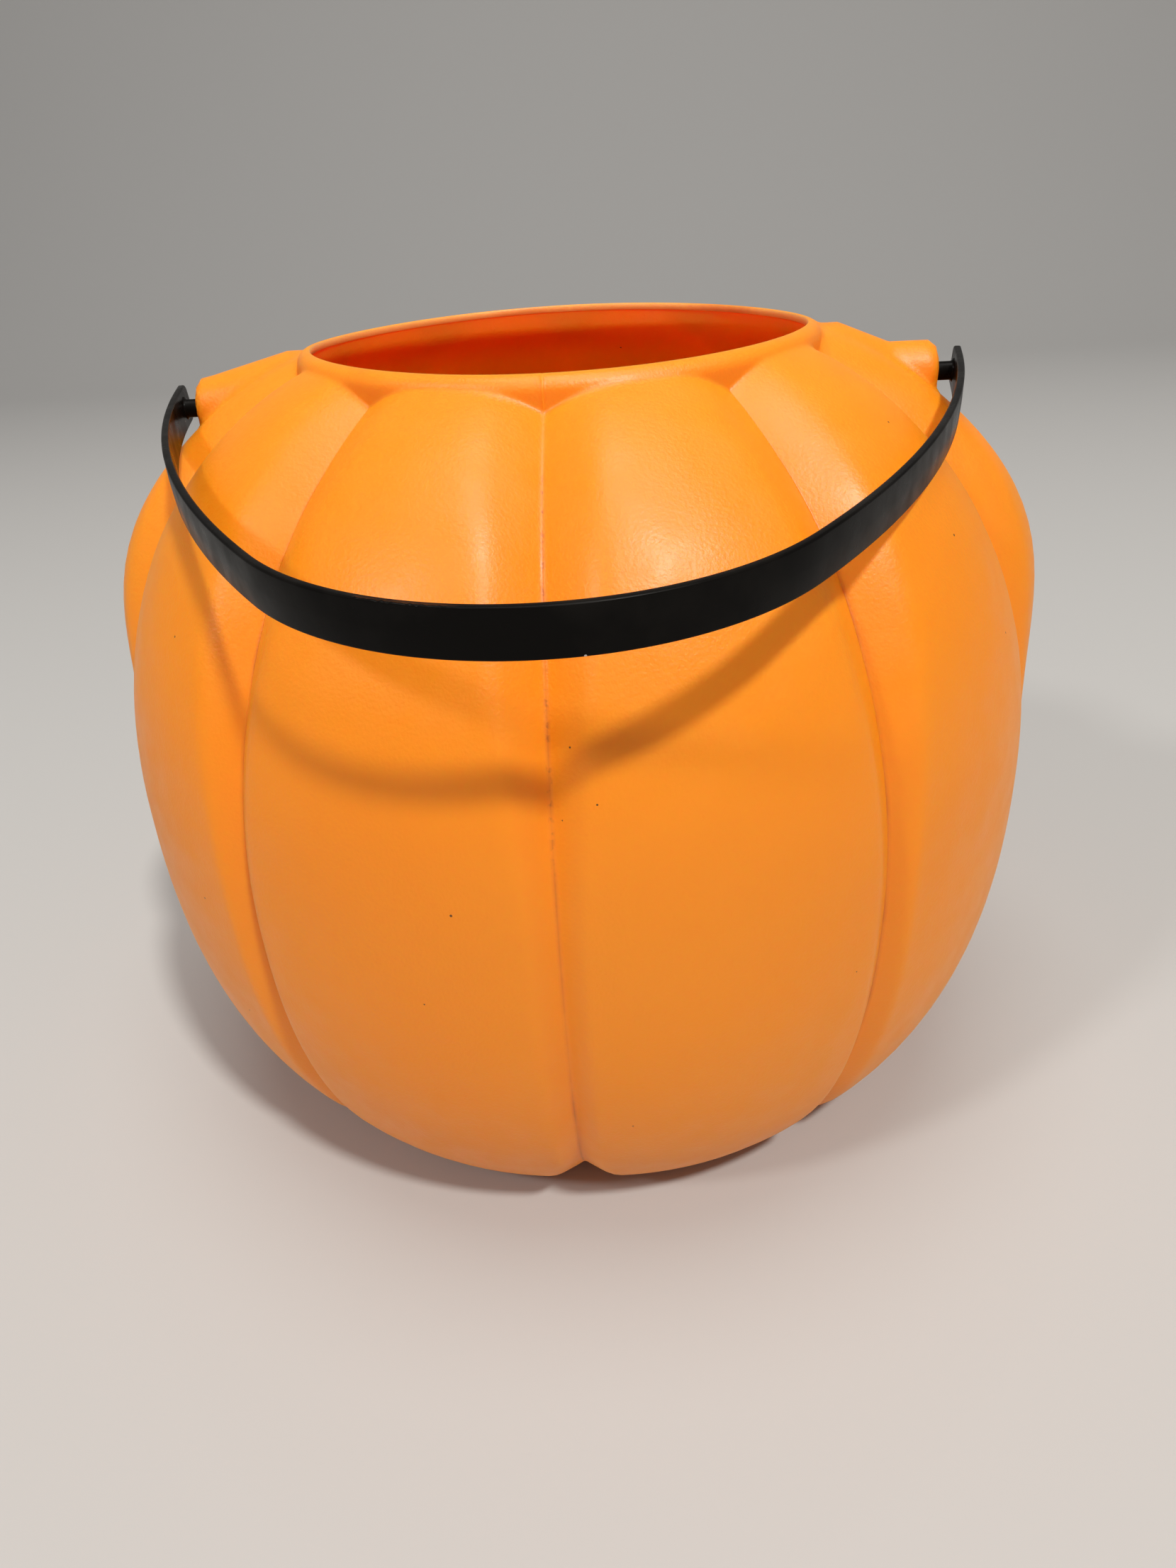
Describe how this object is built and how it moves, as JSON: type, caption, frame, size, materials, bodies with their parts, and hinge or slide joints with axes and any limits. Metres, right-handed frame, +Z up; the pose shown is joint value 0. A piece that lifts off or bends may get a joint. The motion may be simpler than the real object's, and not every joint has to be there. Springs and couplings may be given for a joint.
{
  "type": "candy pail",
  "caption": "Blow-moulded pumpkin-shaped candy pail with a lobed hollow body, a round open mouth and a bowed strap handle that pivots in two shoulder lugs.",
  "frame": {"origin": "middle of the base, on the surface it stands on", "axes": "+Z up through the mouth, X along the line through the two lugs, -Y toward the side the handle rests on"},
  "size_m": [0.228, 0.2404, 0.188],
  "materials": {
    "pail_plastic": "satin moulded",
    "handle_plastic": "semi-gloss"
  },
  "bodies": {
    "pail": {"pail_body": "pail_plastic"},
    "handle": {"handle": "handle_plastic"}
  },
  "joints": [
    {"name": "handle_swing", "type": "hinge", "parent": "pail", "child": "handle", "pos_m": [0, 0, 0.1748], "axis": [-1, 0, 0], "range_deg": [0, 193.4]}
  ]
}
